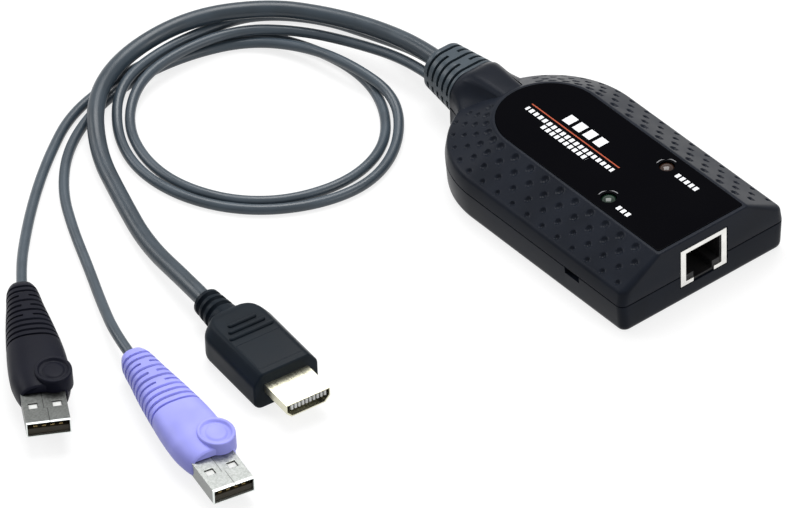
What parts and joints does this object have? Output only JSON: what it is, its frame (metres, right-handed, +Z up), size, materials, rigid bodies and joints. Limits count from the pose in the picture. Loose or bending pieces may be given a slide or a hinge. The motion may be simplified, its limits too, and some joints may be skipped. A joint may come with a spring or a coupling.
{
  "type": "network console adapter",
  "caption": "Console adapter: D-shaped housing with a network socket in front, and a boot with a video cable and a pair of data cables that end in plugs.",
  "frame": {"origin": "bottom centre of the housing and its cable boot, on the surface that they rest on", "axes": "+X out of the network socket, +Y to the power light's side, +Z up"},
  "size_m": [0.1814, 0.2095, 0.0211],
  "materials": {
    "housing": "fine matte grain",
    "panel": "gloss",
    "light_guide": "clear",
    "amber_lamp": "clear",
    "green_lamp": "clear",
    "board": "satin solder mask",
    "chip": "matte",
    "can": "satin",
    "header": "matte",
    "screw": "zinc plated",
    "shield": "tin plated",
    "insert": "matte",
    "gold": "gold plated",
    "switch": "tin plated",
    "slider": "matte",
    "boot": "satin",
    "cable": "satin",
    "data_mold": "satin",
    "lavender": "satin",
    "video_mold": "satin",
    "nickel": "nickel plated",
    "white_insert": "satin"
  },
  "bodies": {
    "adapter": {"top_cover": "housing", "bottom_cover": "housing", "label_panel": "panel", "power_light_guide": "light_guide", "link_light_guide": "light_guide", "power_lamp": "amber_lamp", "link_lamp": "green_lamp", "circuit_board": "board", "video_chip": "chip", "console_processor": "chip", "memory_chip": "chip", "network_transformer": "chip", "capacitors": "can", "crystal": "can", "small_parts": "chip", "video_header": "header", "data_headers": "header", "video_lead": "cable", "lavender_data_lead": "cable", "black_data_lead": "cable", "case_screws": "screw", "network_jack_shield": "shield", "network_jack_insert": "insert", "network_jack_contacts": "gold", "recovery_switch_body": "switch", "cable_boot": "boot", "black_plug_mold": "data_mold", "black_plug_shell": "nickel", "black_plug_tongue": "white_insert", "black_plug_contacts": "gold", "lavender_plug_mold": "lavender", "lavender_plug_shell": "nickel", "lavender_plug_tongue": "white_insert", "lavender_plug_contacts": "gold", "video_plug_mold": "video_mold", "video_plug_shell": "nickel", "video_plug_tongue": "insert", "video_plug_contacts": "gold", "video_cable": "cable", "black_data_cable": "cable", "lavender_data_cable": "cable"},
    "recovery_slider": {"recovery_switch_slider": "slider"}
  },
  "joints": [
    {"name": "recovery_switch_slide", "type": "slide", "parent": "adapter", "child": "recovery_slider", "axis": [1, 0, 0], "range_m": [0, 0.002]}
  ]
}
